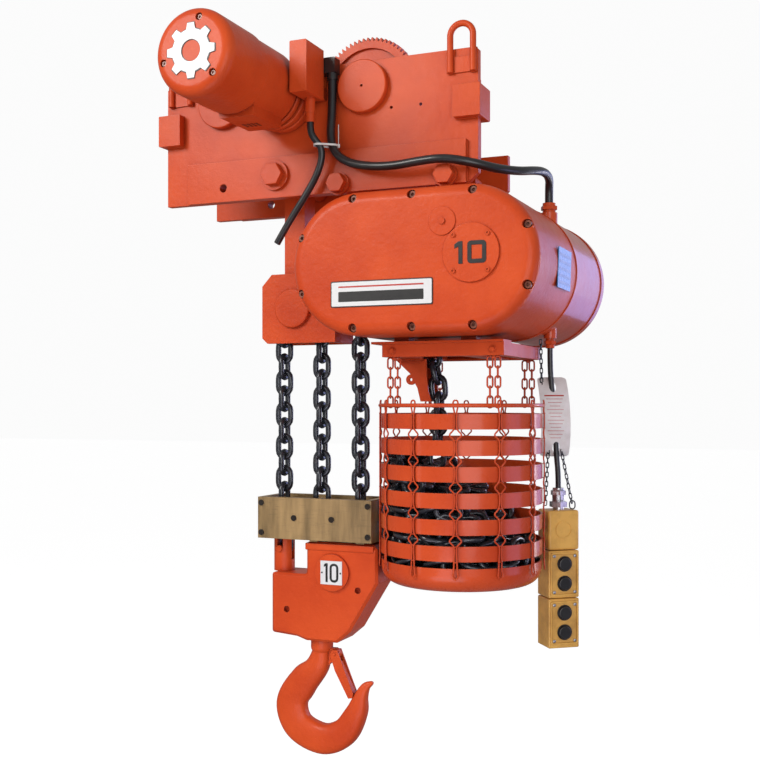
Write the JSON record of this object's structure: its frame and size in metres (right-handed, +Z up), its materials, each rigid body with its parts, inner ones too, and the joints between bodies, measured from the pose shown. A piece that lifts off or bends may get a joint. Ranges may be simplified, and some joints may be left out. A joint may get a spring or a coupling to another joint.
{
  "type": "chain hoist",
  "caption": "Heavy electric chain hoist on a motorised beam trolley, with reeved hook block, hanging chain container and pushbutton pendant.",
  "frame": {"origin": "on the beam's centre plane, midway between the wheel axles, at the height of the wheel treads where they stand on the beam's lower flange", "axes": "+X along the beam, +Z up, +Y away from the geared side; the trolley motor, the gear cover and the name plate face -Y"},
  "size_m": [1.1245, 1.036, 1.9297],
  "materials": {
    "orange_enamel": "gloss",
    "dark_chain": "oiled",
    "bare_steel": "machined",
    "black_screw": "blackened",
    "fibre_board": "satin",
    "black_rubber": "satin",
    "pendant_yellow": "satin",
    "plate_white": "satin",
    "copper_winding": "varnished",
    "white_nylon": "matte",
    "chrome": "polished",
    "panel_grey": "satin"
  },
  "bodies": {
    "hoist": {"front_side_plate": "orange_enamel", "rear_side_plate": "orange_enamel", "load_plates": "orange_enamel", "end_stop_blocks": "orange_enamel", "lifting_eyes": "orange_enamel", "suspension_bolts": "orange_enamel", "axle_pins": "orange_enamel", "trolley_gearbox": "orange_enamel", "trolley_motor_body": "orange_enamel", "trolley_motor_cowl": "orange_enamel", "junction_box": "orange_enamel", "cable_glands": "black_rubber", "hoist_frame": "orange_enamel", "gear_cover": "orange_enamel", "cover_screws": "black_screw", "inspection_cover": "orange_enamel", "label_plates": "plate_white", "motor_housing": "orange_enamel", "motor_end_bell": "orange_enamel", "control_cover": "orange_enamel", "hoist_stator": "copper_winding", "idler_pin": "orange_enamel", "load_chain_upper": "dark_chain", "chain_chute": "orange_enamel", "container_frame": "orange_enamel", "container_bands": "orange_enamel", "container_links": "orange_enamel", "container_pan": "orange_enamel", "stored_chain": "dark_chain", "main_cable": "black_rubber", "supply_cord": "black_rubber", "cable_tie": "white_nylon", "pendant_cord": "black_rubber", "pendant_tag": "white_nylon", "strain_chain": "bare_steel", "pendant_housing": "pendant_yellow", "pendant_panels": "pendant_yellow"},
    "front_left_wheel": {"front_left_wheel": "orange_enamel"},
    "front_right_wheel": {"front_right_wheel": "orange_enamel"},
    "rear_left_wheel": {"rear_left_wheel": "orange_enamel"},
    "rear_right_wheel": {"rear_right_wheel": "orange_enamel"},
    "drive_pinion": {"drive_pinion": "bare_steel"},
    "trolley_rotor": {"trolley_rotor": "bare_steel"},
    "hoist_rotor": {"hoist_rotor": "bare_steel"},
    "intermediate_gear": {"intermediate_gear": "bare_steel"},
    "idler_gear": {"idler_gear": "bare_steel"},
    "lift_wheel": {"lift_wheel": "bare_steel"},
    "idler_sheave": {"idler_sheave": "bare_steel"},
    "block": {"block_housing": "orange_enamel", "sheave_pin": "orange_enamel", "buffer_boards": "fibre_board", "chain_anchor": "orange_enamel", "load_chain_lower": "dark_chain"},
    "bottom_sheave": {"bottom_sheave": "bare_steel"},
    "hook": {"hook": "orange_enamel"},
    "latch": {"latch": "bare_steel"},
    "button_1": {"button_1": "black_rubber"},
    "button_2": {"button_2": "black_rubber"},
    "button_3": {"button_3": "black_rubber"},
    "button_4": {"button_4": "black_rubber"}
  },
  "joints": [
    {"name": "front_left_wheel_spin", "type": "hinge", "parent": "hoist", "child": "front_left_wheel", "pos_m": [-0.2125, 0, 0.1], "axis": [0, 1, 0], "continuous": true},
    {"name": "front_right_wheel_spin", "type": "hinge", "parent": "hoist", "child": "front_right_wheel", "pos_m": [0.2125, 0, 0.1], "axis": [0, 1, 0], "continuous": true},
    {"name": "rear_left_wheel_spin", "type": "hinge", "parent": "hoist", "child": "rear_left_wheel", "pos_m": [-0.2125, 0, 0.1], "axis": [0, 1, 0], "continuous": true},
    {"name": "rear_right_wheel_spin", "type": "hinge", "parent": "hoist", "child": "rear_right_wheel", "pos_m": [0.2125, 0, 0.1], "axis": [0, 1, 0], "continuous": true},
    {"name": "trolley_drive_spin", "type": "hinge", "parent": "hoist", "child": "drive_pinion", "pos_m": [0, 0, 0.07471], "axis": [0, 1, 0], "continuous": true},
    {"name": "trolley_rotor_spin", "type": "hinge", "parent": "hoist", "child": "trolley_rotor", "pos_m": [-0.041, 0, 0.102], "axis": [0, 1, 0], "continuous": true},
    {"name": "hook_lift", "type": "slide", "parent": "hoist", "child": "block", "axis": [0, 0, 1], "range_m": [-0.27, 0.27], "deforming": ["load_chain_upper", "load_chain_lower"]},
    {"name": "lift_wheel_spin", "type": "hinge", "parent": "hoist", "child": "lift_wheel", "pos_m": [0.1984, 0, -0.37], "axis": [0, 1, 0], "range_deg": [-831.2, 831.2]},
    {"name": "idler_sheave_spin", "type": "hinge", "parent": "hoist", "child": "idler_sheave", "pos_m": [-0.0368, 0, -0.46], "axis": [0, 1, 0], "range_deg": [-280.4, 280.4]},
    {"name": "bottom_sheave_spin", "type": "hinge", "parent": "block", "child": "bottom_sheave", "pos_m": [0.0808, 0, -1.18], "axis": [0, 1, 0], "range_deg": [-555.8, 555.8]},
    {"name": "idler_gear_spin", "type": "hinge", "parent": "hoist", "child": "idler_gear", "pos_m": [0.33176, 0, -0.35696], "axis": [0, 1, 0], "range_deg": [-2092.2, 2092.2]},
    {"name": "intermediate_gear_spin", "type": "hinge", "parent": "hoist", "child": "intermediate_gear", "pos_m": [0.403, 0, -0.377], "axis": [0, 1, 0], "range_deg": [-2208.2, 2208.2]},
    {"name": "hoist_rotor_spin", "type": "hinge", "parent": "hoist", "child": "hoist_rotor", "pos_m": [0.539, 0, -0.377], "axis": [0, 1, 0], "range_deg": [-7165.4, 7165.4]},
    {"name": "hook_swivel", "type": "hinge", "parent": "block", "child": "hook", "pos_m": [0.022, 0, -1.4], "axis": [0, 0, 1], "continuous": true},
    {"name": "latch_pivot", "type": "hinge", "parent": "hook", "child": "latch", "pos_m": [0.066, 0, -1.412], "axis": [0, 1, 0], "range_deg": [0, 28], "stiffness_Nm_per_rad": 2, "springref_deg": -17.19},
    {"name": "button_1_press", "type": "slide", "parent": "hoist", "child": "button_1", "axis": [-0.6157, 0.788, 0], "range_m": [0, 0.006], "stiffness_N_per_m": 400, "springref_m": -0.002},
    {"name": "button_2_press", "type": "slide", "parent": "hoist", "child": "button_2", "axis": [-0.6157, 0.788, 0], "range_m": [0, 0.006], "stiffness_N_per_m": 400, "springref_m": -0.002},
    {"name": "button_3_press", "type": "slide", "parent": "hoist", "child": "button_3", "axis": [-0.6157, 0.788, 0], "range_m": [0, 0.006], "stiffness_N_per_m": 400, "springref_m": -0.002},
    {"name": "button_4_press", "type": "slide", "parent": "hoist", "child": "button_4", "axis": [-0.6157, 0.788, 0], "range_m": [0, 0.006], "stiffness_N_per_m": 400, "springref_m": -0.002}
  ],
  "couplings": [
    {"joint": "front_left_wheel_spin", "follows": "trolley_drive_spin", "ratio": -0.62121},
    {"joint": "front_right_wheel_spin", "follows": "trolley_drive_spin", "ratio": -0.62121},
    {"joint": "trolley_rotor_spin", "follows": "trolley_drive_spin", "ratio": -6},
    {"joint": "lift_wheel_spin", "follows": "hook_lift", "rad_per_m": 52.36},
    {"joint": "idler_sheave_spin", "follows": "hook_lift", "rad_per_m": 17.453},
    {"joint": "bottom_sheave_spin", "follows": "hook_lift", "rad_per_m": -34.907},
    {"joint": "idler_gear_spin", "follows": "hook_lift", "rad_per_m": -132.28},
    {"joint": "intermediate_gear_spin", "follows": "hook_lift", "rad_per_m": 139.63},
    {"joint": "hoist_rotor_spin", "follows": "hook_lift", "rad_per_m": -453.79}
  ]
}
